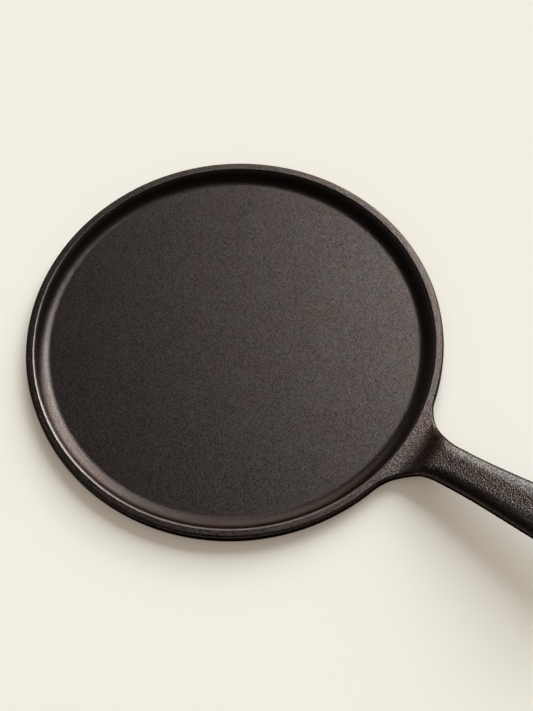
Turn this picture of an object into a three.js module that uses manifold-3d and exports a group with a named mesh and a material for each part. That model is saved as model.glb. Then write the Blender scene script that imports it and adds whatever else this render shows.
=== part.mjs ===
// A dosa tawa: a round, shallow griddle of seasoned cast iron with one long handle.
//
// The real one is a single sand casting, with nothing fitted to it and nothing inside it.
// Here the casting is drawn whole and then parted on flat planes, and round the foot of the
// cove, into the regions that a pattern maker would name. They meet face to face and leave
// nothing out.
//
// Millimetres. +Z is up, +X runs along the handle, and the origin is the centre of the base.
import * as THREE from "three";
import { mergeVertices, toCreasedNormals } from "three/addons/utils/BufferGeometryUtils.js";
import Module from "manifold-3d";

// Driving dimensions of the disc
const discRadius = 152;
const discHeight = 9.5;
const plateThickness = 4;
const rimTopWidth = 4.3;
const rimEdgeRadius = 1.6;
const baseEdgeRadius = 2;
const coveRadius = 16;
const coveFoot = 2;

// Driving dimensions of the handle
const handleReach = 163;
const waistOffset = 38;
const waistWidth = 29.2;
const waistThickness = 12;
const waistHeight = 15.5;
const eyeWidth = 40;
const eyeThickness = 11;
const eyeHeight = 32.1;
const gripEdgeWidth = 9.5;

// Driving dimensions of the root, where the handle springs from the rim
const rootFilletRadius = 36;
const webWidth = 1.5;
const rampLength = 18.5;
const hollowDepth = 1;
const hollowLength = 14;
const rootUndercut = 1.2;
const rootOverlap = 0.4;
const rootLength = 6;

// Driving dimensions of the hanging hole
const holeMargin = 9;
const holeLength = 25;
const holeWideRadius = 7;
const holeNarrowRadius = 4.5;
const eyeLength = 42;

// Cutters run past the faces that they cut by this much
const overrun = 10;

// How finely the curves are drawn
const discSegments = 96;
const coveSteps = 8;
const edgeSteps = 4;
const crownSteps = 6;
const filletSteps = 14;
const gripSteps = 14;
const endSteps = 9;
const holeSteps = 8;
const edgeSpanShare = 0.6;
const creaseAngle = THREE.MathUtils.degToRad(24);

// Places that follow from the driving dimensions
const rimInnerRadius = discRadius - rimEdgeRadius - rimTopWidth;
const recessDepth = discHeight - plateThickness;
const coveSpan = Math.sqrt(coveRadius ** 2 - (coveRadius - recessDepth) ** 2);
const floorRadius = rimInnerRadius - coveSpan;
const waistX = discRadius + waistOffset;
const tipX = discRadius + handleReach;
const eyeRadius = eyeWidth / 2;
const eyeX = tipX - eyeRadius;
const handleSlope = (eyeHeight - waistHeight) / (eyeX - waistX);
const rampStartX = discRadius + webWidth;
const rampEndX = rampStartX + rampLength;
const springRadius = discRadius - rootOverlap;
const filletCentreY = waistWidth / 2 + rootFilletRadius;
const filletCentreX = Math.sqrt((springRadius + rootFilletRadius) ** 2 - filletCentreY ** 2);
const filletAngle = Math.atan2(filletCentreY, filletCentreX);
const springX = springRadius * Math.cos(filletAngle);
const springY = springRadius * Math.sin(filletAngle);
const rootPlaneX = discRadius + rootLength;
const eyePlaneX = tipX - eyeLength;

const wasm = await Module();
wasm.setup();

// A closed solid made from a geometry, ready to be joined or cut
function solidFrom(geometry) {
  geometry.deleteAttribute("normal");
  geometry.deleteAttribute("uv");
  const merged = mergeVertices(geometry);
  return new wasm.Manifold(
    new wasm.Mesh({
      numProp: 3,
      vertProperties: merged.attributes.position.array,
      triVerts: new Uint32Array(merged.index.array),
    }),
  );
}

// A geometry that shows a solid, with sharp edges kept sharp
function geometryFrom(solid) {
  const { vertProperties, triVerts } = solid.getMesh();
  const geometry = new THREE.BufferGeometry();
  geometry.setAttribute("position", new THREE.BufferAttribute(vertProperties, 3));
  geometry.setIndex(new THREE.BufferAttribute(triVerts, 1));
  return toCreasedNormals(geometry, creaseAngle);
}

// A solid of revolution about Z, from a profile of radius and height
function turned(points) {
  const geometry = new THREE.LatheGeometry(points, discSegments);
  geometry.rotateX(Math.PI / 2);
  return solidFrom(geometry);
}

// Points along an arc in the profile's plane
function arcPoints(x, y, radius, from, to, steps) {
  const arc = new THREE.EllipseCurve(x, y, radius, radius, from, to, to < from);
  return arc.getPoints(steps);
}

// The round casting before its recess is cut: base, rounded edges and the rim's top
function discBlank() {
  const baseArcX = discRadius - baseEdgeRadius;
  const rimArcX = discRadius - rimEdgeRadius;
  return turned([
    new THREE.Vector2(0, 0),
    ...arcPoints(baseArcX, baseEdgeRadius, baseEdgeRadius, -Math.PI / 2, 0, edgeSteps),
    ...arcPoints(rimArcX, discHeight - rimEdgeRadius, rimEdgeRadius, 0, Math.PI / 2, edgeSteps),
    new THREE.Vector2(0, discHeight),
  ]);
}

// The shallow recess over the cooking surface, with the cove that rises to the rim
function recessCutter() {
  const coveEnd = Math.asin(coveSpan / coveRadius) - Math.PI / 2;
  const coveY = plateThickness + coveRadius;
  return turned([
    new THREE.Vector2(0, plateThickness),
    ...arcPoints(floorRadius, coveY, coveRadius, -Math.PI / 2, coveEnd, coveSteps),
    new THREE.Vector2(rimInnerRadius, discHeight + overrun),
    new THREE.Vector2(0, discHeight + overrun),
  ]);
}

// A smooth step from 0 to 1 as x goes from start to end
function ease(x, start, end) {
  return THREE.MathUtils.smoothstep(x, start, end);
}

// Half the handle's width: root fillet, waist, swelling grip and round end
function halfWidth(x) {
  if (x <= springX) return springY;
  if (x < filletCentreX) {
    return filletCentreY - Math.sqrt(rootFilletRadius ** 2 - (x - filletCentreX) ** 2);
  }
  if (x <= eyeX) {
    return THREE.MathUtils.lerp(waistWidth / 2, eyeRadius, ease(x, waistX, eyeX));
  }
  return Math.sqrt(Math.max(eyeRadius ** 2 - (x - eyeX) ** 2, 0));
}

// The handle's thickness, from the waist to the eye
function thickness(x) {
  return THREE.MathUtils.lerp(waistThickness, eyeThickness, ease(x, waistX, eyeX));
}

// The height of the handle's middle line, which rises at a steady slope
function middleHeight(x) {
  return waistHeight + (x - waistX) * handleSlope;
}

// The top surface: the rim's level, a hollow behind the rim, a ramp and the grip
function topHeight(x, y) {
  const grip = middleHeight(x) + thickness(x) / 2;
  const along = THREE.MathUtils.clamp((x - rampStartX) / hollowLength, 0, 1);
  const across = THREE.MathUtils.clamp(y / halfWidth(x), -1, 1);
  const bowl = Math.sin(Math.PI * along) ** 2 * Math.cos((Math.PI / 2) * across);
  return THREE.MathUtils.lerp(discHeight, grip, ease(x, rampStartX, rampEndX)) - hollowDepth * bowl;
}

// The underside: just clear of the table at the disc, then rising under the ramp
function bottomHeight(x) {
  const grip = middleHeight(x) - thickness(x) / 2;
  return THREE.MathUtils.lerp(rootUndercut, grip, ease(x, discRadius, rampEndX));
}

// The share of a step across the handle that leads straight in from its outline
function squareness(x) {
  const lean = x > springX && x < filletCentreX ? (filletCentreX - x) / rootFilletRadius : 0;
  return Math.sqrt(1 - lean ** 2);
}

// How far a point of the handle lies inside its outline, seen from above
function insetAt(x, y) {
  if (x > eyeX) return eyeRadius - Math.hypot(x - eyeX, y);
  return (halfWidth(x) - Math.abs(y)) * squareness(x);
}

// How far the rounded edge drops at a given inset: a quarter ellipse
function edgeDrop(inset, width, height) {
  const share = THREE.MathUtils.clamp(1 - inset / width, 0, 1);
  return height * (1 - Math.sqrt(1 - share ** 2));
}

// Places across the handle, from one side to the other: close together over the rounded edges
function placesAcross(x, edgeWidth) {
  const half = halfWidth(x);
  const edgeSpan = Math.min(edgeWidth / squareness(x), half * edgeSpanShare);
  const places = [];
  for (let i = 0; i < edgeSteps; i++) {
    places.push(half - edgeSpan * (1 - Math.cos((Math.PI * i) / (2 * edgeSteps))));
  }
  for (let i = 0; i < crownSteps; i++) {
    places.push(THREE.MathUtils.lerp(half - edgeSpan, 0, i / crownSteps));
  }
  return [...places.map((y) => -y), 0, ...places.reverse()];
}

// One closed ring round the handle at a station along it
function handleRing(x) {
  const round = ease(x, discRadius, rampEndX);
  const edgeWidth = THREE.MathUtils.lerp(rimEdgeRadius, gripEdgeWidth, round);
  const top = [];
  const bottom = [];
  for (const y of placesAcross(x, edgeWidth)) {
    const inset = insetAt(x, y);
    const upper = topHeight(x, y);
    const lower = bottomHeight(x);
    const half = (upper - lower) / 2;
    const edgeHeight = Math.min(THREE.MathUtils.lerp(rimEdgeRadius, half, round), half);
    const drop = edgeDrop(inset, edgeWidth, edgeHeight);
    top.push(new THREE.Vector3(x, y, upper - drop));
    bottom.push(new THREE.Vector3(x, y, lower + drop));
  }
  return top.reverse().concat(bottom);
}

// Stations along the handle, closer together where it curves
function handleStations() {
  const stations = [springX - rimTopWidth];
  for (let i = 0; i < filletSteps; i++) {
    const angle = THREE.MathUtils.lerp(filletAngle, Math.PI / 2, i / filletSteps);
    stations.push(filletCentreX - rootFilletRadius * Math.cos(angle));
  }
  for (let i = 0; i < gripSteps; i++) {
    stations.push(THREE.MathUtils.lerp(filletCentreX, eyeX, i / gripSteps));
  }
  for (let i = 0; i < endSteps; i++) {
    stations.push(eyeX + eyeRadius * Math.sin((Math.PI * i) / (2 * endSteps)));
  }
  return stations;
}

// The whole handle as one skin over its rings, closed by a flat start and a pointed end
function handleBlank() {
  const rings = handleStations().map(handleRing);
  const count = rings[0].length;
  const start = new THREE.Vector3(rings[0][0].x, 0, discHeight / 2);
  const end = new THREE.Vector3(tipX, 0, middleHeight(tipX));
  const points = [...rings.flat(), start, end];
  const faces = [];
  const startIndex = rings.length * count;
  const lastRing = (rings.length - 1) * count;
  for (let j = 0; j < count; j++) {
    const next = (j + 1) % count;
    for (let i = 0; i < rings.length - 1; i++) {
      const a = i * count;
      const b = a + count;
      faces.push(a + j, b + next, b + j, a + j, a + next, b + next);
    }
    faces.push(startIndex, next, j);
    faces.push(startIndex + 1, lastRing + j, lastRing + next);
  }
  const geometry = new THREE.BufferGeometry().setFromPoints(points);
  geometry.setIndex(faces);
  return solidFrom(geometry);
}

// The hanging hole, a drop shape that widens towards the tip, cut straight down
function holeCutter() {
  const wideX = tipX - holeMargin - holeWideRadius;
  const narrowX = tipX - holeMargin - holeLength + holeNarrowRadius;
  const lean = Math.acos((holeWideRadius - holeNarrowRadius) / (wideX - narrowX));
  const wideFrom = -Math.PI + lean;
  const outline = [
    ...arcPoints(wideX, 0, holeWideRadius, wideFrom, -wideFrom, holeSteps * 2),
    ...arcPoints(narrowX, 0, holeNarrowRadius, -wideFrom, 2 * Math.PI + wideFrom, holeSteps),
  ];
  const height = middleHeight(tipX) + eyeThickness + 2 * overrun;
  const geometry = new THREE.ExtrudeGeometry(new THREE.Shape(outline), {
    depth: height,
    bevelEnabled: false,
  });
  geometry.translate(0, 0, -overrun);
  return solidFrom(geometry);
}

// The column over and under the cooking surface, turned half a facet so that it cuts the
// cove clear of the edges between its facets. It takes in the foot of the cove.
function plateColumn() {
  const radius = floorRadius + coveFoot;
  const geometry = new THREE.CylinderGeometry(radius, radius, highZ - lowZ, discSegments);
  geometry.rotateX(Math.PI / 2);
  geometry.rotateZ(Math.PI / discSegments);
  geometry.translate(0, 0, (lowZ + highZ) / 2);
  return solidFrom(geometry);
}

// A block that keeps one region of the casting, between two stations and two heights
function regionBlock(fromX, toX, fromZ, toZ) {
  const width = 2 * (discRadius + overrun);
  const geometry = new THREE.BoxGeometry(toX - fromX, width, toZ - fromZ);
  geometry.translate((fromX + toX) / 2, 0, (fromZ + toZ) / 2);
  return solidFrom(geometry);
}

// Seasoned iron: near black and warm, with a low satin shine
function seasonedIron(color, roughness) {
  return new THREE.MeshStandardMaterial({ color, roughness, metalness: 0.6 });
}

const casting = discBlank().add(handleBlank()).subtract(recessCutter()).subtract(holeCutter());

const backX = -discRadius - overrun;
const farX = tipX + overrun;
const lowZ = -overrun;
const highZ = middleHeight(tipX) + eyeThickness + overrun;
const column = plateColumn();

// Each region of the casting: its name, the block that keeps it and its finish
const regions = [
  {
    name: "griddle_plate",
    block: regionBlock(backX, rootPlaneX, lowZ, plateThickness).add(column),
    material: seasonedIron(0x37302d, 0.55),
  },
  {
    name: "raised_rim",
    block: regionBlock(backX, rootPlaneX, plateThickness, highZ).subtract(column),
    material: seasonedIron(0x3d3532, 0.6),
  },
  {
    name: "handle_root",
    block: regionBlock(rootPlaneX, waistX, lowZ, highZ),
    material: seasonedIron(0x3a3230, 0.65),
  },
  {
    name: "handle_grip",
    block: regionBlock(waistX, eyePlaneX, lowZ, highZ),
    material: seasonedIron(0x3a3230, 0.65),
  },
  {
    name: "hanging_eye",
    block: regionBlock(eyePlaneX, farX, lowZ, highZ),
    material: seasonedIron(0x3a3230, 0.65),
  },
];

const tawa = new THREE.Group();
for (const { name, block, material } of regions) {
  const mesh = new THREE.Mesh(geometryFrom(casting.intersect(block)), material);
  mesh.name = name;
  tawa.add(mesh);
}

export default tawa;
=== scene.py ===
"""A cast-iron dosa tawa: a round, shallow griddle with a low rim and one long rising handle.

The real one is a single sand casting. Its skin is made here as one closed mesh, so that the
iron runs on unbroken from the rim into the handle, and is then parted on the same planes as
the solids into five closed pieces, each of which stands for one solid of the frame.
Sizes are in millimetres and angles in degrees until a mesh is made. Everything in Blender is
in metres.
"""

import logging
import math
from dataclasses import dataclass, field
from enum import Enum

import bmesh
import bpy
import numpy as np
from mathutils import Matrix, Vector, noise


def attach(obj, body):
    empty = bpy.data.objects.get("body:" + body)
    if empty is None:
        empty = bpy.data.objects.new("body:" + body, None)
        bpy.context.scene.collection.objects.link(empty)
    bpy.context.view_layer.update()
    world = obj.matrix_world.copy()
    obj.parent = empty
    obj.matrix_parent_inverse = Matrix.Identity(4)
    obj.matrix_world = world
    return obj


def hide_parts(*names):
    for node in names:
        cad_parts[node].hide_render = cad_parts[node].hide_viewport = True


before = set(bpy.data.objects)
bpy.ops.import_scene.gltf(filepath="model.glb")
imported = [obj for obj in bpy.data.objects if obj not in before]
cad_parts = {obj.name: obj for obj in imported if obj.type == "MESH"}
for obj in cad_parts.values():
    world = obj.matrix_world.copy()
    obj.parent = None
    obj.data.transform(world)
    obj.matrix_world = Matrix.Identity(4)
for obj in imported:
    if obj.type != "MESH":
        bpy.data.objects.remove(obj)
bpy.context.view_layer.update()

log = logging.getLogger("dosa_tawa")

MM = 0.001
NORMAL_LAYER = "skin_normal"
CAP_LAYER = "parting_face"
SMOOTH = {"interpolation_type": "SMOOTHSTEP"}
TIMES = {"operation": "MULTIPLY"}
LARGER = {"operation": "MAXIMUM"}
MIX_NUMBERS = {"data_type": "FLOAT"}
MIX_COLOURS = {"data_type": "RGBA"}

# Ribs are plan points on an outline, and the points or directions that lead in from them.
Ribs = tuple[np.ndarray, np.ndarray]
Body = bmesh.types.BMesh
Tree = bpy.types.NodeTree
# A signal is a node's output socket, or a node, which stands for its one result.
Signal = bpy.types.Node | bpy.types.NodeSocket


def ease(value: np.ndarray, start: float, end: float) -> np.ndarray:
    """Smooth step from 0 at start to 1 at end."""
    share = np.clip((value - start) / (end - start), 0.0, 1.0)
    return share * share * (3.0 - 2.0 * share)


def mix(first: np.ndarray, second: np.ndarray, share: np.ndarray) -> np.ndarray:
    """The value that lies at a share of the way from first to second."""
    return first + (second - first) * share


def polar(radius: float, angles: np.ndarray) -> np.ndarray:
    """Plan points on a circle about the origin.

    Args:
        radius: the circle's radius.
        angles: the points' angles from +X, in radians.

    Returns:
        One row of x and y for each angle.
    """
    return np.column_stack([radius * np.cos(angles), radius * np.sin(angles)])


def mirrored(plan: np.ndarray) -> np.ndarray:
    """The plan points on the handle's other side, in the opposite order."""
    return plan[::-1] * np.array([1.0, -1.0])


def linear(hex_colour: str) -> tuple[float, float, float, float]:
    """An sRGB hex colour as linear RGBA.

    Args:
        hex_colour: six hex digits after a #.

    Returns:
        Red, green, blue and an alpha of 1.
    """
    values = [int(hex_colour[i:i + 2], 16) / 255 for i in (1, 3, 5)]
    decoded = [v / 12.92 if v <= 0.04045 else ((v + 0.055) / 1.055) ** 2.4 for v in values]
    return (decoded[0], decoded[1], decoded[2], 1.0)


def per_metre(size: float) -> float:
    """A texture's scale for features of a size in millimetres."""
    return 1.0 / (size * MM)


def empty_tree(owner: bpy.types.Material | bpy.types.World) -> Tree:
    """Makes room for new nodes.

    Args:
        owner: the material or world that they are for.

    Returns:
        Its node tree, with nothing in it.
    """
    owner.use_nodes = True
    owner.node_tree.nodes.clear()
    return owner.node_tree


def add_node(tree: Tree, kind: str, settings: dict | None = None,
             **inputs) -> bpy.types.Node:
    """Adds one shader node with its settings and its input values or links.

    Args:
        tree: the node tree that takes the node.
        kind: the node's type name after ShaderNode.
        settings: attributes of the node itself.
        **inputs: an input socket's name, with underscores for spaces, or its number after
            an i, and a value or a signal. A node gives the first output that its settings
            leave on.

    Returns:
        The new node.
    """
    node = tree.nodes.new("ShaderNode" + kind)
    for name, value in (settings or {}).items():
        setattr(node, name, value)
    for name, value in inputs.items():
        numbered = name[0] == "i" and name[1:].isdigit()
        socket = node.inputs[int(name[1:]) if numbered else name.replace("_", " ")]
        if isinstance(value, bpy.types.Node):
            value = next(output for output in value.outputs if output.enabled)
        if isinstance(value, bpy.types.NodeSocket):
            tree.links.new(value, socket)
        else:
            socket.default_value = value
    return node


class Region(Enum):
    """The regions that the casting is parted into, by the name of the solid each stands for."""

    PLATE = "griddle_plate"
    RIM = "raised_rim"
    ROOT = "handle_root"
    GRIP = "handle_grip"
    EYE = "hanging_eye"

    @property
    def slot(self) -> str:
        """The record's material slot that the region takes its finish from."""
        return {Region.PLATE: "cooking_iron", Region.RIM: "rim_iron"}.get(self, "handle_iron")


@dataclass(frozen=True)
class Disc:
    """The round griddle: plate, cove and rim."""

    radius: float = 152.0
    height: float = 9.5
    plate: float = 4.0
    rim_top: float = 4.3
    rim_edge: float = 1.6
    base_edge: float = 2.0
    rim_fall: float = 0.2
    cove_radius: float = 15.5
    cove_tilt: float = 40.0
    cove_foot: float = 2.0
    bevel_bite: float = 0.3
    bevel_width: float = 0.8
    bevel_tilt: float = 22.0
    bevel_edge: float = 0.12
    band_radius: float = 149.0
    floor_step: float = 2.0
    base_step: float = 4.0
    rib_step: float = 1.35
    flat_steps: int = 4
    cove_steps: int = 18
    straight_steps: int = 3
    foot_steps: int = 4

    @property
    def lip_inner_radius(self) -> float:
        """Radius of the rim's inner edge before it is worn."""
        return self.radius - self.rim_edge - self.rim_top

    @property
    def cove_top(self) -> tuple[float, float]:
        """Radius and height at which the cove ends and the worn bevel starts."""
        drop = self.bevel_width * math.tan(math.radians(self.bevel_tilt))
        return self.lip_inner_radius - self.bevel_bite, self.height - drop

    @property
    def floor_radius(self) -> float:
        """Radius at which the flat cooking surface ends and the cove starts.

        Returns:
            The radius at which the arc under the straight part meets the plate.
        """
        tilt = math.radians(self.cove_tilt)
        radius, height = self.cove_top
        rise = height - self.plate - self.cove_radius * (1 - math.cos(tilt))
        return radius - rise / math.tan(tilt) - self.cove_radius * math.sin(tilt)

    @property
    def foot_radius(self) -> float:
        """Radius at which the plate is parted from the rim."""
        return self.floor_radius + self.cove_foot

    def rim_height(self, radius: np.ndarray) -> np.ndarray:
        """Height of the rim's top, which falls a little outwards.

        Args:
            radius: distances from the disc's axis.

        Returns:
            The heights.
        """
        share = (radius - self.lip_inner_radius) / (self.rim_top + self.rim_edge)
        return self.height - self.rim_fall * np.clip(share, 0.0, 1.0)

    def recess_profile(self) -> np.ndarray:
        """The recess from the rim's top down the cove to the cooking surface.

        The rim's inner edge is worn to a narrow bevel. The cove below it is straight at
        first, and then an arc.

        Returns:
            Rows of radius and height, from the outside inwards.
        """
        tilt = math.radians(self.cove_tilt)
        foot = math.asin(self.cove_foot / self.cove_radius)
        angles = np.concatenate([np.linspace(tilt, foot, self.cove_steps + 1),
                                 np.linspace(foot, 0.0, self.foot_steps + 1)[1:]])
        arc = np.column_stack([self.floor_radius + self.cove_radius * np.sin(angles),
                               self.plate + self.cove_radius * (1 - np.cos(angles))])
        end = np.array(self.cove_top)
        straight = mix(end, arc[0], np.linspace(0.0, 1.0, self.straight_steps + 1)[:-1, None])
        start = end[0] + self.bevel_width
        edges = np.array([start, start - self.bevel_edge, end[0] + self.bevel_edge])
        slope = math.tan(math.radians(self.bevel_tilt))
        bevel = np.column_stack([edges, end[1] + (edges - end[0]) * slope])
        radii = np.linspace(self.band_radius, start + self.bevel_edge, self.flat_steps + 1)
        flat = np.column_stack([radii, self.rim_height(radii)])
        bevel[0, 1] = self.rim_height(bevel[0, 0])
        return np.concatenate([flat, bevel, straight, arc])


@dataclass(frozen=True)
class Handle:
    """The handle: root fillets, hollow web, ramp, grip and round end with its hanging hole."""

    reach: float = 163.0
    waist_offset: float = 38.0
    waist_width: float = 29.2
    waist_thickness: float = 12.0
    waist_height: float = 15.5
    eye_width: float = 40.0
    eye_thickness: float = 11.0
    eye_height: float = 32.1
    edge_width: float = 9.5
    edge_power: float = 2.6
    side_band: float = 1.0
    fillet_radius: float = 36.0
    web_width: float = 1.5
    ramp_length: float = 18.5
    hollow_depth: float = 1.0
    hollow_length: float = 14.0
    undercut: float = 1.2
    undercut_run: float = 4.0
    root_length: float = 6.0
    eye_length: float = 42.0
    hole_margin: float = 9.0
    hole_length: float = 25.0
    hole_wide: float = 7.0
    hole_narrow: float = 4.5
    hole_edge: float = 1.5
    web_ribs: int = 24
    neck_ribs: int = 20
    grip_ribs: int = 80
    eye_ribs: int = 44
    least_half: float = 0.001
    disc: Disc = field(default_factory=Disc)

    @property
    def waist_x(self) -> float:
        """Station of the narrowest place."""
        return self.disc.radius + self.waist_offset

    @property
    def tip_x(self) -> float:
        """Station of the far end."""
        return self.disc.radius + self.reach

    @property
    def eye_radius(self) -> float:
        """Radius of the round end."""
        return self.eye_width / 2

    @property
    def eye_x(self) -> float:
        """Station of the round end's centre."""
        return self.tip_x - self.eye_radius

    @property
    def ramp_start(self) -> float:
        """Station at which the top leaves the rim's level."""
        return self.disc.radius + self.web_width

    @property
    def ramp_end(self) -> float:
        """Station at which the ramp has become the grip."""
        return self.ramp_start + self.ramp_length

    @property
    def fillet_centre(self) -> tuple[float, float]:
        """Plan centre of the root fillet on the +Y side."""
        y = self.waist_width / 2 + self.fillet_radius
        return math.sqrt((self.disc.radius + self.fillet_radius) ** 2 - y ** 2), y

    @property
    def spring_angle(self) -> float:
        """Angle about the disc's centre at which the fillet leaves the rim."""
        x, y = self.fillet_centre
        return math.atan2(y, x)

    @property
    def hole_centres(self) -> tuple[float, float]:
        """Stations of the centres of the hole's narrow and wide ends."""
        wide = self.tip_x - self.hole_margin - self.hole_wide
        return self.tip_x - self.hole_margin - self.hole_length + self.hole_narrow, wide

    @property
    def hole_start(self) -> float:
        """Station at which the rounded edge of the hole begins."""
        return self.hole_centres[0] - self.hole_narrow - self.hole_edge

    def half_width(self, x: np.ndarray) -> np.ndarray:
        """Half the width at stations along the handle.

        Args:
            x: the stations.

        Returns:
            The half widths.
        """
        centre_x, centre_y = self.fillet_centre
        lean = np.clip(x - centre_x, -self.fillet_radius * math.cos(self.spring_angle), 0.0)
        fillet = centre_y - np.sqrt(self.fillet_radius ** 2 - lean ** 2)
        swell = mix(self.waist_width / 2, self.eye_radius, ease(x, self.waist_x, self.eye_x))
        end = np.sqrt(np.maximum(self.eye_radius ** 2 - (x - self.eye_x) ** 2, 0.0))
        return np.where(x < centre_x, fillet, np.where(x <= self.eye_x, swell, end))

    def thickness(self, x: np.ndarray) -> np.ndarray:
        """Thickness along the grip."""
        return mix(self.waist_thickness, self.eye_thickness, ease(x, self.waist_x, self.eye_x))

    def middle(self, x: np.ndarray) -> np.ndarray:
        """Height of the middle line, which rises at a steady slope."""
        slope = (self.eye_height - self.waist_height) / (self.eye_x - self.waist_x)
        return self.waist_height + (x - self.waist_x) * slope

    def top(self, x: np.ndarray, y: np.ndarray) -> np.ndarray:
        """Height of the upper surface before its edges are rounded.

        Args:
            x: stations along the handle.
            y: places across it.

        Returns:
            The heights: the rim's level, the hollow behind the rim, the ramp and the grip.
        """
        grip = self.middle(x) + self.thickness(x) / 2
        along = np.clip((x - self.ramp_start) / self.hollow_length, 0.0, 1.0)
        across = np.clip(y / np.maximum(self.half_width(x), self.least_half), -1.0, 1.0)
        hollow = self.hollow_depth * np.sin(np.pi * along) ** 2 * np.cos(np.pi / 2 * across)
        rim = self.disc.rim_height(np.hypot(x, y))
        return mix(rim, grip, ease(x, self.ramp_start, self.ramp_end)) - hollow

    def underside(self, x: np.ndarray, y: np.ndarray, outline: np.ndarray) -> np.ndarray:
        """Height of the lower surface before its edges are rounded.

        Args:
            x: stations along the handle.
            y: places across it.
            outline: radius from the disc's centre of the outline beside each point.

        Returns:
            The heights: the base, the undercut behind its rounded edge and the grip.
        """
        disc = self.disc
        undercut = self.undercut * ease(outline, disc.radius, disc.radius + self.undercut_run)
        step = undercut * ease(np.hypot(x, y), disc.radius - disc.base_edge, disc.radius)
        grip = self.middle(x) - self.thickness(x) / 2
        return mix(step, grip, ease(x, disc.radius, self.ramp_end))

    def root_ribs(self) -> Ribs:
        """Ribs of the web and neck, each square to the root fillet.

        Returns:
            Plan points on the outline, and the points that they lead in to: on the rim's
            inner band at first, and from the corner there along the handle's middle line.
        """
        centre_x, centre_y = self.fillet_centre
        band = self.disc.band_radius
        corner = math.atan2(centre_y, centre_x - band)
        angles = np.concatenate([
            np.linspace(self.spring_angle, corner, self.web_ribs + 1),
            np.linspace(corner, np.pi / 2, self.neck_ribs + 1)[1:],
        ])
        inward = -polar(1.0, angles)
        outline = np.array([centre_x, centre_y]) + self.fillet_radius * inward
        along = np.sum(outline * inward, axis=1)
        gap = np.maximum(along ** 2 - (np.sum(outline ** 2, axis=1) - band ** 2), 0.0)
        on_band = outline + inward * (-along - np.sqrt(gap))[:, None]
        on_axis = np.column_stack([centre_x - centre_y / np.tan(angles), 0.0 * angles])
        inner = np.where((angles < corner)[:, None], on_band, on_axis)
        inner[self.web_ribs] = (band, 0.0)
        return outline, inner

    def grip_ribs_plan(self) -> Ribs:
        """Ribs of the grip, straight across from its side to the middle line.

        Returns:
            Plan points on the side, and those on the middle line.
        """
        x = np.linspace(self.fillet_centre[0], self.hole_start, self.grip_ribs + 1)[1:]
        outline = np.column_stack([x, self.half_width(x)])
        return outline, outline * np.array([1.0, 0.0])

    def hole_path(self) -> Ribs:
        """One side of the hanging hole, evenly spaced from its narrow to its wide end.

        Returns:
            Plan points on the hole's wall, and the unit normals that lead into the iron.
        """
        narrow_x, wide_x = self.hole_centres
        gap = wide_x - narrow_x
        lean = math.acos((self.hole_narrow - self.hole_wide) / gap)
        narrow = self.hole_narrow + self.hole_edge
        wide = self.hole_wide + self.hole_edge
        lengths = [narrow * (np.pi - lean), gap * math.sin(lean), wide * lean]
        ends = np.cumsum([0.0] + lengths)
        place = np.linspace(0.0, ends[-1], self.eye_ribs + 1)
        share = np.clip((place - ends[1]) / lengths[1], 0.0, 1.0)
        turn = np.where(place < ends[1], np.pi - place / narrow,
                        np.where(place < ends[2], lean, (ends[-1] - place) / wide))
        normal = polar(1.0, turn)
        centre = np.column_stack([mix(narrow_x, wide_x, share), 0.0 * share])
        radius = mix(self.hole_narrow, self.hole_wide, share)
        return centre + normal * radius[:, None], normal

    def eye_ribs_plan(self) -> Ribs:
        """Ribs of the round end, from its outline in to the rounded edge of the hole.

        Returns:
            Plan points on the outline, and those round the hole.
        """
        side = self.eye_x - self.hole_start
        total = side + self.eye_radius * np.pi / 2
        place = np.linspace(0.0, total, self.eye_ribs + 1)[1:]
        x = self.hole_start + np.minimum(place, side)
        turn = np.pi / 2 - np.maximum(place - side, 0.0) / self.eye_radius
        straight = np.column_stack([x, self.half_width(x)])
        curved = np.array([self.eye_x, 0.0]) + polar(self.eye_radius, turn)
        outline = np.where((place < side)[:, None], straight, curved)
        wall, normal = self.hole_path()
        return outline, (wall + normal * self.hole_edge)[1:]

    def side_plan(self) -> Ribs:
        """All ribs of the +Y side, from the rim to the tip: outline points and inner points."""
        parts = [self.root_ribs(), self.grip_ribs_plan(), self.eye_ribs_plan()]
        return (np.concatenate([p[0] for p in parts]), np.concatenate([p[1] for p in parts]))


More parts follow.
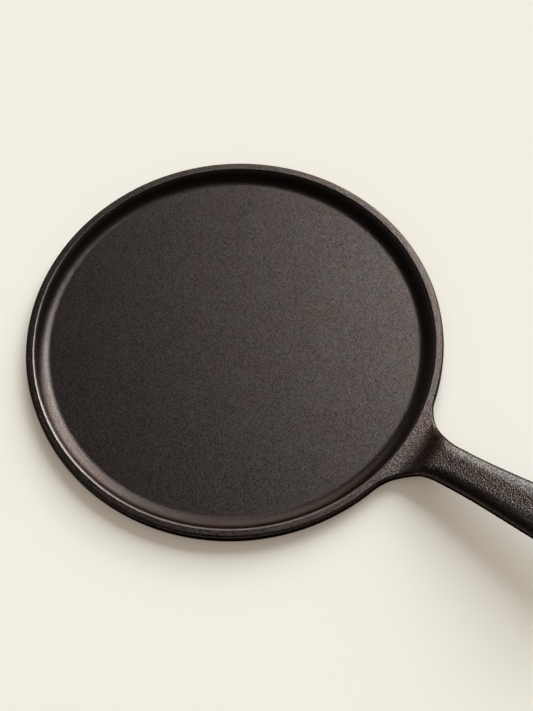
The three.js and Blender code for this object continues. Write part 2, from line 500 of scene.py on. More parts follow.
@dataclass
class Skin:
    """A closed surface that is gathered patch by patch and welded where patches meet."""

    points: list[np.ndarray] = field(default_factory=list)
    faces: list[tuple[int, ...]] = field(default_factory=list)
    weld: float = 1e-3
    fewest_rings: int = 2
    fewest_points: int = 6

    def _add(self, rows: np.ndarray) -> int:
        """Adds points, and gives the number of the first of them."""
        self.points.append(rows)
        return sum(len(p) for p in self.points[:-1])

    def grid(self, rows: np.ndarray) -> None:
        """Adds a patch of four-sided faces.

        Args:
            rows: points as an array of rows by columns by 3.
        """
        count, width = rows.shape[:2]
        first = self._add(rows.reshape(-1, 3))
        for i in range(count - 1):
            for j in range(width - 1):
                a = first + i * width + j
                self.faces.append((a, a + 1, a + width + 1, a + width))

    def stitch(self, outer: np.ndarray, inner: np.ndarray) -> None:
        """Joins two closed rings about the origin that may differ in their count of points.

        Args:
            outer: the outer ring's points, in the order of their angles.
            inner: the inner ring's points, in the same order.
        """
        first, second = self._add(outer), self._add(inner)
        angles = [np.unwrap(np.arctan2(ring[:, 1], ring[:, 0])) for ring in (outer, inner)]
        i = j = 0
        while i < len(outer) or j < len(inner):
            next_outer = angles[0][i + 1] if i + 1 < len(outer) else angles[0][0] + 2 * np.pi
            next_inner = angles[1][j + 1] if j + 1 < len(inner) else angles[1][0] + 2 * np.pi
            a, b = first + i % len(outer), second + j % len(inner)
            if j >= len(inner) or (i < len(outer) and next_outer <= next_inner):
                self.faces.append((a, first + (i + 1) % len(outer), b))
                i += 1
            else:
                self.faces.append((a, second + (j + 1) % len(inner), b))
                j += 1

    def disc(self, rim: np.ndarray, radius: float, step: float, height: float) -> None:
        """Closes a ring with a flat disc of evenly spaced smaller rings.

        Args:
            rim: the ring's points, in the order of their angles.
            radius: the ring's radius.
            step: about how far apart the smaller rings and their points lie.
            height: the disc's height.
        """
        outer = rim
        rings = max(round(radius / step), self.fewest_rings)
        for r in np.linspace(radius, 0.0, rings + 1)[1:-1]:
            count = max(round(2 * np.pi * r / step), self.fewest_points)
            plan = polar(r, np.linspace(0.0, 2 * np.pi, count, endpoint=False))
            inner = np.column_stack([plan, np.full(count, height)])
            self.stitch(outer, inner)
            outer = inner
        first, centre = self._add(outer), self._add(np.array([[0.0, 0.0, height]]))
        count = len(outer)
        self.faces.extend((first + k, first + (k + 1) % count, centre) for k in range(count))

    def mesh(self, name: str) -> bpy.types.Mesh:
        """Welds the patches into one closed mesh whose faces point outwards.

        Args:
            name: the mesh's name.

        Returns:
            The mesh, in millimetres.
        """
        mesh = bpy.data.meshes.new(name)
        mesh.from_pydata(np.concatenate(self.points).tolist(), [], self.faces)
        body = bmesh.new()
        body.from_mesh(mesh)
        bmesh.ops.remove_doubles(body, verts=body.verts, dist=self.weld)
        bmesh.ops.recalc_face_normals(body, faces=body.faces)
        if body.calc_volume(signed=True) < 0:
            bmesh.ops.reverse_faces(body, faces=body.faces)
        body.to_mesh(mesh)
        body.free()
        return mesh


@dataclass(frozen=True)
class SandRelief:
    """How far the sand mould's unevenness stands off the true surface, as real relief."""

    swell_size: float = 26.0
    swell: float = 0.06
    lump_size: float = 5.0
    lump: float = 0.03
    floor_share: float = 0.6
    base_fade: float = 2.4

    def offset(self, point: Vector, disc: Disc) -> float:
        """How far one point of the skin moves along its normal.

        Args:
            point: the point, in millimetres.
            disc: the griddle, whose base stays flat and whose recess is smoother.

        Returns:
            The distance, in millimetres.
        """
        radius = math.hypot(point.x, point.y)
        whole = (self.swell * noise.noise(point / self.swell_size)
                 + self.lump * noise.noise(point / self.lump_size))
        if radius < disc.lip_inner_radius:
            whole *= self.floor_share
        if radius < disc.radius + disc.base_edge:
            whole *= float(ease(np.float64(point.z), 0.0, self.base_fade))
        return whole


@dataclass
class Casting:
    """The whole casting as one skin, before it is parted."""

    disc: Disc = field(default_factory=Disc)
    handle: Handle = field(default_factory=Handle)
    relief: SandRelief = field(default_factory=SandRelief)
    edge_rows: int = 12
    crown_rows: int = 9
    wall_rows: int = 5
    hole_rows: int = 4
    angle_digits: int = 9

    def rib_plan(self) -> Ribs:
        """Every rib once round the casting, from the tip of the handle to the tip again.

        Returns:
            Plan points on the outline and the inner points that they lead to.
        """
        outline, inner = self.handle.side_plan()
        start = self.handle.spring_angle
        span = 2 * np.pi - 2 * start
        count = round(span * self.disc.radius / self.disc.rib_step)
        angles = np.linspace(start, 2 * np.pi - start, count + 1)[1:-1]
        outlines = [outline[::-1], polar(self.disc.radius, angles), mirrored(outline[::-1])]
        inners = [inner[::-1], polar(self.disc.band_radius, angles), mirrored(inner[::-1])]
        return np.concatenate(outlines), np.concatenate(inners)

    def edge_sizes(self, outline: np.ndarray) -> dict[str, np.ndarray]:
        """Width, height and fullness of the rounded edges at each rib.

        Args:
            outline: plan points on the outline.

        Returns:
            The widths and heights of the upper and lower edges, by side, and the power that
            makes an edge fuller than an ellipse.
        """
        x, y = outline[:, 0], outline[:, 1]
        handle, disc = self.handle, self.disc
        grown = np.where(x > 0, ease(x, disc.radius, handle.ramp_end), 0.0)
        top = handle.top(x, y)
        low = handle.underside(x, y, np.hypot(x, y))
        half = (top - low - handle.side_band) / 2
        return {
            "top_width": mix(disc.rim_edge, handle.edge_width, grown),
            "low_width": mix(disc.base_edge, handle.edge_width, grown),
            "top_height": mix(disc.rim_edge, half, grown),
            "low_height": mix(disc.base_edge, half, grown),
            "power": 2 / mix(2.0, handle.edge_power, grown),
        }

    def surface_rows(self, outline: np.ndarray, inner: np.ndarray, side: str) -> np.ndarray:
        """The upper or lower surface as rows of points from the outline to the inner points.

        Args:
            outline: plan points on the outline.
            inner: the inner points that the ribs lead to.
            side: top or low.

        Returns:
            Points as an array of ribs by rows by 3.
        """
        sizes = self.edge_sizes(outline)
        run = inner - outline
        length = np.linalg.norm(run, axis=1)
        width = np.minimum(sizes[side + "_width"], length)
        radius = np.hypot(outline[:, 0], outline[:, 1])
        columns = []
        for k in range(self.edge_rows + self.crown_rows + 1):
            turn = np.pi / 2 * min(k / self.edge_rows, 1.0)
            crown = max(k - self.edge_rows, 0) / self.crown_rows
            inset = mix(width * (1 - np.cos(turn) ** sizes["power"]), length, crown)
            plan = outline + run * (inset / length)[:, None]
            drop = sizes[side + "_height"] * (1 - np.sin(turn) ** sizes["power"])
            x, y = plan[:, 0], plan[:, 1]
            if side == "top":
                height = self.handle.top(x, y) - drop
            else:
                height = self.handle.underside(x, y, radius) + drop
            columns.append(np.column_stack([plan, height]))
        return np.stack(columns, axis=1)

    def hole_wall(self) -> np.ndarray:
        """One side of the hanging hole, from its upper to its lower rounded edge.

        Returns:
            Points as an array of places round the hole by rows by 3.
        """
        wall, normal = self.handle.hole_path()
        edge = self.handle.hole_edge
        far = np.full(len(wall), self.handle.tip_x)
        turns = np.linspace(0.0, np.pi / 2, self.hole_rows + 1)
        upper, lower = [], []
        for turn in turns:
            plan = wall + normal * edge * (1 - math.sin(turn))
            x, y = plan[:, 0], plan[:, 1]
            drop = edge * (1 - math.cos(turn))
            upper.append(np.column_stack([plan, self.handle.top(x, y) - drop]))
            lower.append(np.column_stack([plan, self.handle.underside(x, y, far) + drop]))
        return np.stack(upper + lower[::-1], axis=1)

    def whole(self) -> bpy.types.Mesh:
        """The whole casting as one closed mesh.

        Returns:
            The mesh, in millimetres, with the sand's relief.
        """
        outline, inner = self.rib_plan()
        upper = self.surface_rows(outline, inner, "top")[:, ::-1]
        lower = self.surface_rows(outline, inner, "low")
        shares = np.linspace(0.0, 1.0, self.wall_rows + 2)[1:-1]
        wall = [mix(upper[:, -1], lower[:, 0], share) for share in shares]
        skin = Skin()
        skin.grid(np.concatenate([upper, np.stack(wall, axis=1), lower], axis=1))
        self._add_recess_and_base(skin, inner)
        hole = self.hole_wall()
        skin.grid(hole)
        skin.grid(hole * np.array([1.0, -1.0, 1.0]))
        mesh = skin.mesh("casting")
        moves = [vertex.normal * self.relief.offset(vertex.co, self.disc)
                 for vertex in mesh.vertices]
        for vertex, move in zip(mesh.vertices, moves):
            vertex.co += move
        return mesh

    def _add_recess_and_base(self, skin: Skin, inner: np.ndarray) -> None:
        """Adds the recess and the flat base inside the ring where the ribs start.

        Args:
            skin: the skin that takes them.
            inner: the ribs' inner points.
        """
        on_band = np.isclose(np.hypot(inner[:, 0], inner[:, 1]), self.disc.band_radius)
        angles = np.mod(np.arctan2(inner[on_band, 1], inner[on_band, 0]), 2 * np.pi)
        unit = polar(1.0, np.unique(np.round(angles, self.angle_digits)))
        rings = [np.column_stack([unit * r, np.full(len(unit), z)])
                 for r, z in self.disc.recess_profile()]
        skin.grid(np.stack([np.concatenate([ring, ring[:1]]) for ring in rings], axis=0))
        skin.disc(rings[-1], self.disc.floor_radius, self.disc.floor_step, self.disc.plate)
        base = rings[0] * np.array([1.0, 1.0, 0.0])
        skin.disc(base, self.disc.band_radius, self.disc.base_step, 0.0)


@dataclass(frozen=True)
class Parting:
    """Parts the closed skin into the regions, and closes each with parting faces.

    The skin's own normals are kept on every piece, so the shading runs on over each seam.
    """

    disc: Disc
    handle: Handle
    snap: float = 1e-4

    def _close(self, body: Body) -> None:
        """Fills the openings that a cut has left, and marks the new faces.

        Args:
            body: the cut body.
        """
        rim = [edge for edge in body.edges if edge.is_boundary]
        filled = bmesh.ops.triangle_fill(body, edges=rim, use_beauty=True)
        layer = body.faces.layers.int[CAP_LAYER]
        for item in filled["geom"]:
            if isinstance(item, bmesh.types.BMFace):
                item[layer] = 1
        bmesh.ops.recalc_face_normals(body, faces=body.faces)

    def _across(self, body: Body, station: float) -> list[Body]:
        """Cuts a closed body square across the handle.

        Args:
            body: the body, which is left as it is.
            station: where along the handle the cut lies.

        Returns:
            The closed half nearer the disc, and the one farther out.
        """
        halves = []
        for farther in (False, True):
            half = body.copy()
            bmesh.ops.bisect_plane(half, geom=half.verts[:] + half.edges[:] + half.faces[:],
                                   dist=self.snap, plane_co=(station, 0.0, 0.0),
                                   plane_no=(1.0, 0.0, 0.0), clear_outer=not farther,
                                   clear_inner=farther)
            self._close(half)
            halves.append(half)
        return halves

    def _is_plate(self, face: bmesh.types.BMFace) -> bool:
        """Whether a face of the disc belongs to the plate."""
        centre = face.calc_center_median()
        return centre.z < self.disc.plate or centre.xy.length < self.disc.foot_radius

    def _plate_and_rim(self, body: Body) -> list[Body]:
        """Cuts the disc at the plate's height, and round the foot of the cove.

        Args:
            body: the closed disc.

        Returns:
            The closed plate and the closed rim.
        """
        between = (self.disc.foot_radius + self.disc.lip_inner_radius) / 2
        outside = [face for face in body.faces
                   if math.hypot(*face.calc_center_median().xy) > between]
        geometry = dict.fromkeys(item for face in outside
                                 for item in (face, *face.edges, *face.verts))
        bmesh.ops.bisect_plane(body, geom=list(geometry), dist=self.snap,
                               plane_co=(0.0, 0.0, self.disc.plate), plane_no=(0.0, 0.0, 1.0))
        parts = []
        for keep_plate in (True, False):
            part = body.copy()
            unwanted = [face for face in part.faces if self._is_plate(face) != keep_plate]
            bmesh.ops.delete(part, geom=unwanted, context="FACES")
            foot = [edge for edge in part.edges if edge.is_boundary
                    and max(vertex.co.xy.length for vertex in edge.verts) < between]
            seam = {vertex: part.verts.new((*vertex.co.xy, self.disc.plate))
                    for vertex in dict.fromkeys(v for edge in foot for v in edge.verts)}
            for edge in foot:
                near, far = edge.verts
                wall = part.faces.new((near, far, seam[far], seam[near]))
                wall[part.faces.layers.int[CAP_LAYER]] = 1
            self._close(part)
            parts.append(part)
        return parts

    def _finished(self, body: Body, name: str) -> bpy.types.Mesh:
        """Turns a region into a mesh in metres, with the whole skin's normals.

        Args:
            body: the closed region, in millimetres; it is freed.
            name: the mesh's name.

        Returns:
            The mesh.
        """
        kept = body.verts.layers.float_vector[NORMAL_LAYER]
        cap = body.faces.layers.int[CAP_LAYER]
        body.normal_update()
        normals = [face.normal.copy() if face[cap] else loop.vert[kept].normalized()
                   for face in body.faces for loop in face.loops]
        body.verts.layers.float_vector.remove(kept)
        mesh = bpy.data.meshes.new(name)
        body.to_mesh(mesh)
        body.free()
        mesh.transform(Matrix.Scale(MM, 4))
        mesh.shade_smooth()
        mesh.normals_split_custom_set(normals)
        return mesh

    def pieces(self, skin: bpy.types.Mesh) -> dict[Region, bpy.types.Mesh]:
        """Parts the skin into its five regions.

        Args:
            skin: the whole casting's closed mesh, in millimetres.

        Returns:
            One closed mesh in metres for each region.
        """
        body = bmesh.new()
        body.from_mesh(skin)
        body.faces.layers.int.new(CAP_LAYER)
        kept = body.verts.layers.float_vector.new(NORMAL_LAYER)
        for vertex in body.verts:
            vertex[kept] = vertex.normal
        griddle, rest = self._across(body, self.disc.radius + self.handle.root_length)
        root, rest = self._across(rest, self.handle.waist_x)
        grip, eye = self._across(rest, self.handle.tip_x - self.handle.eye_length)
        plate, rim = self._plate_and_rim(griddle)
        regions = {Region.PLATE: plate, Region.RIM: rim, Region.ROOT: root,
                   Region.GRIP: grip, Region.EYE: eye}
        return {region: self._finished(part, region.value) for region, part in regions.items()}


@dataclass(frozen=True)
class SandCastIron:
    """Grey iron cast in green sand, then blackened with many coats of baked oil.

    The mould's sand leaves the iron pebbled: fine and half worn down where food is cooked,
    coarse on the rim and the handle. The baked oil turns it black and gives a soft satin
    gloss, which the grain keeps dim even along the surface, with faint brown, green and blue
    stains where the coats are thin. The rim's inner edge is worn brighter by turners, and the
    sides of the handle are rubbed smoother by hands. The far side of the grip is coloured
    lighter, as a painted highlight. The hollow behind the rim has a rougher coat, coloured
    darker as painted shade.
    """

    name: str
    disc: Disc
    handle: Handle
    black: str = "#352E2B"
    burnt: str = "#362D29"
    brown: str = "#362E2B"
    green: str = "#352F2A"
    blue: str = "#35302E"
    worn: str = "#524B47"
    # painted shade: the hollow behind the rim is coloured darker than the iron around it
    dull_shade: str = "#312A26"
    # painted highlight: the far (+Y) side of the grip is coloured lighter
    far_side_highlight: str = "#4A4745"
    grazed: str = "#7D7876"
    # Fades, spans, reaches and drops are in millimetres, but under_fade is in thicknesses of
    # the plate, and the fade of the hollow's rough coat and painted shade is in its spans.
    # Ranges are of the noise, which runs from 0 to 1.
    roughness: float = 0.31
    cove_roughness: float = 0.25
    cove_fade: float = 1.0
    dull_roughness: float = 0.45
    dull_shade_span: tuple[float, float] = (11.0, 22.0)
    dull_shade_fade: tuple[float, float] = (1.0, 0.4)
    lip_fade: float = 1.0
    under_fade: tuple[float, float] = (0.75, 0.5)
    wear_reach: float = 2.5
    wear_end: tuple[float, float] = (0.9, 0.6)
    wear_drop: tuple[float, float] = (2.0, 1.0)
    stain_size: float = 14.0
    stain_detail: float = 4.0
    stain_breakup: float = 0.7
    stain_range: tuple[float, float] = (0.45, 0.65)
    grain_detail: float = 2.0
    grain_range: tuple[float, float] = (0.3, 0.7)
    fine_width: float = 0.62
    fine_length: float = 0.95
    fine_breakup: float = 0.6
    fine_contrast: tuple[float, float] = (0.3, 1.7)
    fine_depth: float = 0.09
    wipe_direction: float = 129.0
    coarse_size: float = 1.3
    coarse_breakup: float = 0.55
    coarse_contrast: tuple[float, float] = (0.42, 2.08)
    coarse_depth: float = 0.23
    handle_start: tuple[float, float] = (152.0, 180.0)
    handle_depth: float = 0.42
    held_and_highlight_band: tuple[float, float] = (5.0, 10.0)
    held_and_highlight_start: tuple[float, float] = (172.0, 186.0)
    held_depth: float = 0.35

    def build(self) -> bpy.types.Material:
        """Builds the material.

        Returns:
            A procedural material in the object's own coordinates.
        """
        material = bpy.data.materials.new(self.name)
        tree = empty_tree(material)
        place = add_node(tree, "TexCoord").outputs["Object"]
        shares = self._shares(tree, place)
        fine, coarse = self._pebbles(tree, place)
        rubbed = add_node(tree, "MapRange", Value=shares["cove"], To_Min=self.roughness,
                          To_Max=self.cove_roughness)
        bare = add_node(tree, "Mix", MIX_NUMBERS, i0=shares["coarse"], i2=rubbed,
                        i3=self.roughness)
        gloss = add_node(tree, "Mix", MIX_NUMBERS, i0=shares["dull_shade"], i2=bare,
                         i3=self.dull_roughness)
        shader = add_node(tree, "BsdfPrincipled", Metallic=1.0, Roughness=gloss,
                          Base_Color=self._colour(tree, place, fine, coarse, shares),
                          Specular_Tint=linear(self.grazed),
                          Normal=self._relief(tree, fine, coarse, shares))
        add_node(tree, "OutputMaterial", Surface=shader)
        return material

    def _shares(self, tree: Tree, place: Signal) -> dict[str, Signal]:
        """Where the casting has each state of its surface, as soft shares from 0 to 1.

        The coarse pebbles are outside the recess, and underneath, and grow to the handle's.
        Turners have worn the rim's inner edge, and less and less so below it. Hands have held
        the grip by both of its rounded sides, and its far side carries a painted highlight. The
        hollow behind the rim is rougher and carries painted shade.

        Args:
            tree: the material's tree.
            place: the point in the object's coordinates.

        Returns:
            The shares by the names of the states and of the places that bound them.
        """
        disc, lip, floor = self.disc, self.disc.lip_inner_radius, self.disc.floor_radius
        hollow = self.handle.ramp_start + self.handle.hollow_length / 2
        along, across = self.dull_shade_span
        x, y, z = add_node(tree, "SeparateXYZ", Vector=place).outputs
        aside = add_node(tree, "Math", {"operation": "ABSOLUTE"}, i0=y)
        flat = add_node(tree, "VectorMath", TIMES, i0=place, i1=(1.0, 1.0, 0.0))
        shifted = add_node(tree, "VectorMath", {"operation": "SUBTRACT"}, i0=place,
                           i1=(hollow * MM, 0.0, disc.height * MM))
        scaled = add_node(tree, "VectorMath", TIMES, i0=shifted,
                          i1=(1 / along, 1 / across, 1 / across))
        radius, away = (add_node(tree, "VectorMath", {"operation": "LENGTH"}, i0=offset)
                        for offset in (flat, scaled))
        spans = {
            "outside": (radius, lip, lip + self.lip_fade),
            "under": (z, *(disc.plate * part for part in self.under_fade)),
            "inner": (radius, lip - self.wear_reach, lip - disc.bevel_bite),
            "outer": (radius, *(lip + end for end in self.wear_end)),
            "high": (z, *(disc.height - drop for drop in self.wear_drop)),
            "cove": (radius, floor - self.cove_fade, floor + self.cove_fade),
            # the hollow behind the rim, which is rougher and darkened as painted shade
            "dull_shade": (away, *self.dull_shade_fade),
            "handle": (x, *self.handle_start),
            "grip": (x, *self.held_and_highlight_start),
            "sides": (aside, *self.held_and_highlight_band),
            # the far (+Y) side only, where the highlight is painted
            "side": (y, *self.held_and_highlight_band),
        }
        shares = {name: add_node(tree, "MapRange", SMOOTH, Value=value, From_Min=start * MM,
                                 From_Max=end * MM)
                  for name, (value, start, end) in spans.items()}
        for name, settings, first, second in (("coarse", LARGER, "outside", "under"),
                                              ("lip", TIMES, "inner", "outer"),
                                              ("worn", TIMES, "lip", "high"),
                                              # the grip's far side, which takes the painted
                                              # highlight
                                              ("far_side_highlight", TIMES, "side", "grip"),
                                              ("held", TIMES, "sides", "grip")):
            shares[name] = add_node(tree, "Math", settings, i0=shares[first],
                                    i1=shares[second])
        return shares

    def _pebbles(self, tree: Tree, place: Signal) -> tuple[Signal, Signal]:
        """The sand's grain, fine and coarse.

        The real grains are 0.3 mm across. They are drawn coarser, so that they show. The fine
        ones are drawn out a little in the direction in which the cooking face is wiped.

        Args:
            tree: the material's tree.
            place: the point in the object's coordinates.

        Returns:
            The heights of the fine and the coarse grain, from 0 to 1.
        """
        wiped = add_node(tree, "Mapping", {"vector_type": "TEXTURE"}, Vector=place,
                         Rotation=(0.0, 0.0, math.radians(self.wipe_direction)),
                         Scale=(self.fine_length / self.fine_width, 1.0, 1.0))
        fine, coarse = (
            add_node(tree, "TexNoise", Vector=where, Scale=per_metre(size),
                     Detail=self.grain_detail, Roughness=breakup)
            for where, size, breakup in ((wiped, self.fine_width, self.fine_breakup),
                                         (place, self.coarse_size, self.coarse_breakup)))
        return fine, coarse

    def _colour(self, tree: Tree, place: Signal, fine: Signal, coarse: Signal,
                shares: dict[str, Signal]) -> Signal:
        """The blackened iron with its faint stains and worn edge, painted shade in the hollow
        behind the rim, and a painted highlight on the grip's far side.

        Args:
            tree: the material's tree.
            place: the point in the object's coordinates.
            fine: the fine grain's height.
            coarse: the coarse grain's height.
            shares: where the surface has each state.

        Returns:
            The colour.
        """
        stain = add_node(tree, "TexNoise", Vector=place, Scale=per_metre(self.stain_size),
                         Detail=self.stain_detail, Roughness=self.stain_breakup)
        patches = add_node(tree, "SeparateColor", Color=stain.outputs["Color"]).outputs
        start, end = self.stain_range
        stains = [(hue, add_node(tree, "MapRange", SMOOTH, Value=patch, From_Min=start,
                                 From_Max=end))
                  for hue, patch in zip((self.brown, self.green, self.blue), patches)]
        colour = linear(self.black)
        # The hollow's colour darkens it as painted shade, and the grip's far-side colour lightens
        # it as a painted highlight.
        for hue, share in ((self.burnt, shares["coarse"]), *stains,
                           (self.worn, shares["worn"]), (self.dull_shade, shares["dull_shade"]),
                           (self.far_side_highlight, shares["far_side_highlight"])):
            colour = add_node(tree, "Mix", MIX_COLOURS, i0=share, i6=colour, i7=linear(hue))
        start, end = self.grain_range
        low, high = (
            add_node(tree, "MapRange", Value=grain, From_Min=start, From_Max=end,
                     To_Min=darkest, To_Max=lightest)
            for grain, (darkest, lightest) in ((fine, self.fine_contrast),
                                               (coarse, self.coarse_contrast)))
        lift = add_node(tree, "Mix", MIX_NUMBERS, i0=shares["coarse"], i2=low, i3=high)
        return add_node(tree, "VectorMath", {"operation": "SCALE"}, i0=colour, Scale=lift)

    def _relief(self, tree: Tree, fine: Signal, coarse: Signal,
                shares: dict[str, Signal]) -> Signal:
        """The pebbles that are too small for the mesh.

        Args:
            tree: the material's tree.
            fine: the fine grain's height from 0 to 1.
            coarse: the coarse grain's height from 0 to 1.
            shares: where the surface has each state.

        Returns:
            The bumped normal.
        """
        low = add_node(tree, "Math", TIMES, i0=fine, i1=self.fine_depth)
        along = add_node(tree, "MapRange", Value=shares["handle"], To_Min=self.coarse_depth,
                         To_Max=self.handle_depth)
        depth = add_node(tree, "Mix", MIX_NUMBERS, i0=shares["held"], i2=along,
                         i3=self.coarse_depth * self.held_depth)
        high = add_node(tree, "Math", TIMES, i0=coarse, i1=depth)
        height = add_node(tree, "Mix", MIX_NUMBERS, i0=shares["coarse"], i2=low, i3=high)
        return add_node(tree, "Bump", Distance=MM, Height=height)


@dataclass(frozen=True)
class PaperSweep:
    """Matt, faintly warm background paper: a plain pale floor without gloss.

    The camera, and the gloss of the iron, see a warm glow on it besides, which stands for the
    light that pale walls throw back, and keeps the background even and the shadow light.
    """

    name: str = "matt_paper"
    colour: str = "#F3F0E7"
    glow_colour: str = "#FFEAD2"
    glow: float = 0.13

    def build(self) -> bpy.types.Material:
        """Builds the material.

        Returns:
            The paper, with its glow.
        """
        material = bpy.data.materials.new(self.name)
        tree = empty_tree(material)
        paper = add_node(tree, "BsdfPrincipled", Base_Color=linear(self.colour),
                         Roughness=1.0, Specular_IOR_Level=0.0)
        ray = add_node(tree, "LightPath").outputs
        seen = ray["Is Camera Ray"]
        for kind in ("Is Glossy Ray", "Is Transmission Ray"):
            seen = add_node(tree, "Math", LARGER, i0=seen, i1=ray[kind])
        strength = add_node(tree, "Math", TIMES, i0=seen, i1=self.glow)
        glow = add_node(tree, "Emission", Color=linear(self.glow_colour), Strength=strength)
        both = add_node(tree, "AddShader", i0=paper, i1=glow)
        add_node(tree, "OutputMaterial", Surface=both)
        return material


@dataclass
class Tawa:
    """The dosa tawa: the parted casting in its finishes."""

    casting: Casting = field(default_factory=Casting)

    def build(self) -> list[bpy.types.Object]:
        """Builds, dresses and places every piece.

        Returns:
            The pieces.
        """
        skin = self.casting.whole()
        disc, handle = self.casting.disc, self.casting.handle
        finishes = {slot: SandCastIron("seasoned_" + slot, disc, handle).build()
                    for slot in dict.fromkeys(region.slot for region in Region)}
        objects = []
        for region, mesh in Parting(disc, handle).pieces(skin).items():
            piece = bpy.data.objects.new(region.value + "_cast", mesh)
            bpy.context.scene.collection.objects.link(piece)
            mesh.materials.append(finishes[region.slot])
            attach(piece, "root")
            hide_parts(region.value)
            log.info("%s: %d faces, stands for %s", piece.name, len(mesh.polygons), region.value)
            objects.append(piece)
        bpy.data.meshes.remove(skin)
        return objects


@dataclass(frozen=True)
class SoftBox:
    """A far, rectangular soft lamp that faces the middle of the griddle.

    Its width and height are the angles that it covers, seen from there. It lights only what is
    in one collection.
    """

    name: str
    azimuth: float
    elevation: float
    width: float
    height: float
    level: float
    colour: str = "#F2FAFF"
    distance: float = 120.0

    def _size(self, angle: float) -> float:
        """The size that covers an angle, in metres."""
        return 2 * self.distance * math.tan(math.radians(angle / 2))

    def add(self, receivers: bpy.types.Collection) -> None:
        """Adds the lamp, strong enough to light a white floor at the middle to its level.

        Args:
            receivers: the only things that it lights.
        """
        azimuth, elevation = math.radians(self.azimuth), math.radians(self.elevation)
        towards = Vector((math.cos(elevation) * math.cos(azimuth),
                          math.cos(elevation) * math.sin(azimuth), math.sin(elevation)))
        data = bpy.data.lights.new(self.name, "AREA")
        data.shape = "RECTANGLE"
        data.size = self._size(self.width)
        data.size_y = self._size(self.height)
        data.energy = self.level * math.pi ** 2 * self.distance ** 2 / math.sin(elevation)
        data.color = linear(self.colour)[:3]
        lamp = bpy.data.objects.new(self.name, data)
        lamp.location = towards * self.distance
        lamp.rotation_euler = towards.to_track_quat("Z", "Y").to_euler()
        lamp.visible_camera = False
        lamp.light_linking.receiver_collection = receivers
        bpy.context.scene.collection.objects.link(lamp)
        log.info("%s: level %.2f", self.name, self.level)


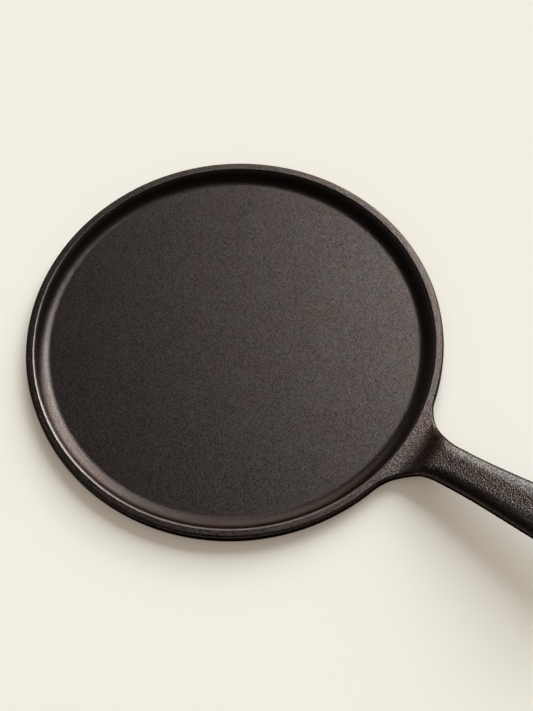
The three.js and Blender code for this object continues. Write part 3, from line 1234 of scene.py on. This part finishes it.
@dataclass(frozen=True)
class Studio:
    """A pale paper floor, soft boxes on one side and overhead, and a world palest low down.

    One box lights the paper and throws the shadow. A low, dim one behind it shines under the
    handle, and one overhead keeps the shadows light. The iron has three to itself, which give
    it its shine: tall, small and high, and wide.
    """

    # Each box has its azimuth, elevation, width and height in degrees, and then its level.
    floor_boxes: tuple[SoftBox, ...] = (
        SoftBox("paper_box", 100.7, 30.0, 50.0, 32.0, 0.64),
        SoftBox("sill_box", 100.7, 15.0, 60.0, 10.0, 0.13, "#FFF6EA"),
        SoftBox("sky_box", 0.0, 90.0, 100.0, 100.0, 0.47, "#FFF3E6"),
    )
    iron_boxes: tuple[SoftBox, ...] = (
        SoftBox("tall_box", 95.0, 38.0, 22.0, 44.0, 0.54),
        SoftBox("high_box", 98.0, 57.0, 16.0, 15.0, 0.26),
        SoftBox("wide_box", 114.0, 26.0, 58.0, 40.0, 0.24, "#FFF6EC"),
    )
    overhead: float = 0.06
    horizon: float = 0.22
    horizon_fade: tuple[float, float] = (0.35, 0.75)
    skyline: float = 0.96
    skyline_fade: tuple[float, float] = (0.05, 0.07)
    world_colour: str = "#F8F2EC"
    floor_size: float = 16.0

    def build(self, pieces: list[bpy.types.Object]) -> None:
        """Adds the floor, the lamps and the world.

        Args:
            pieces: the tawa's pieces.
        """
        for name, things, boxes in (("sweep", [self._floor()], self.floor_boxes),
                                    ("iron", pieces, self.iron_boxes)):
            group = bpy.data.collections.new(name)
            for thing in things:
                group.objects.link(thing)
            for box in boxes:
                box.add(group)
        self._world()

    def _world(self) -> None:
        """Sets the world: dim overhead, paler low down, and as pale as the paper at its edge."""
        world = bpy.data.worlds.new("studio_world")
        tree = empty_tree(world)
        place = add_node(tree, "TexCoord").outputs["Generated"]
        up = add_node(tree, "SeparateXYZ", Vector=place).outputs["Z"]
        level, edge = (
            add_node(tree, "MapRange", SMOOTH, Value=up, From_Min=start, From_Max=end,
                     To_Min=low, To_Max=high)
            for (start, end), low, high in ((self.horizon_fade, self.horizon, self.overhead),
                                            (self.skyline_fade, self.skyline, 0.0)))
        strength = add_node(tree, "Math", LARGER, i0=level, i1=edge)
        light = add_node(tree, "Background", Color=linear(self.world_colour),
                         Strength=strength)
        add_node(tree, "OutputWorld", Surface=light)
        bpy.context.scene.world = world

    def _floor(self) -> bpy.types.Object:
        """Adds the paper floor.

        Returns:
            The floor.
        """
        half = self.floor_size / 2
        mesh = bpy.data.meshes.new("Floor")
        mesh.from_pydata([(-half, -half, 0), (half, -half, 0), (half, half, 0), (-half, half, 0)],
                         [], [(0, 1, 2, 3)])
        mesh.materials.append(PaperSweep().build())
        floor = bpy.data.objects.new("Floor", mesh)
        bpy.context.scene.collection.objects.link(floor)
        return floor


@dataclass(frozen=True)
class PhotoCamera:
    """The photograph's pinhole camera, from the rim's and the base's outlines in it.

    It looks down at the griddle, with the handle leading away to the lower right.
    """

    frame_px: tuple[float, float] = (533.0, 711.0)
    focal_px: float = 1556.0
    middle_px: tuple[float, float] = (234.5, 344.1)
    elevation: float = 63.79
    roll: float = -5.07
    handle_turn: float = 39.0
    distance: float = 1.138
    lift: float = 0.0014
    film: float = 36.0

    def build(self) -> bpy.types.Object:
        """Adds the camera.

        Returns:
            The camera, set as the scene's own.
        """
        tilt, roll = math.radians(self.elevation), math.radians(self.roll)
        level = Vector((1.0, 0.0, 0.0))
        back = Vector((0.0, -math.cos(tilt), math.sin(tilt)))
        rise = Vector((0.0, math.sin(tilt), math.cos(tilt)))
        right = math.cos(roll) * level + math.sin(roll) * rise
        up = -math.sin(roll) * level + math.cos(roll) * rise
        across = (self.middle_px[0] - self.frame_px[0] / 2) * self.distance / self.focal_px
        above = (self.frame_px[1] / 2 - self.middle_px[1]) * self.distance / self.focal_px
        place = back * self.distance - right * across - up * above
        place.z += self.lift
        data = bpy.data.cameras.new("camera")
        data.sensor_width = self.film
        data.lens = self.focal_px / max(self.frame_px) * self.film
        camera = bpy.data.objects.new("camera", data)
        axes = Matrix((right, up, back)).transposed().to_4x4()
        turn = Matrix.Rotation(math.radians(self.handle_turn), 4, "Z")
        camera.matrix_world = turn @ Matrix.Translation(place) @ axes
        bpy.context.scene.collection.objects.link(camera)
        bpy.context.scene.camera = camera
        return camera


def main() -> None:
    """Builds the tawa, its studio and its camera."""
    logging.basicConfig(level=logging.INFO, format="%(message)s")
    PhotoCamera().build()
    Studio().build(Tawa().build())
    bpy.context.scene.view_settings.view_transform = "Standard"
    bpy.context.view_layer.update()


if __name__ == "__main__":
    main()
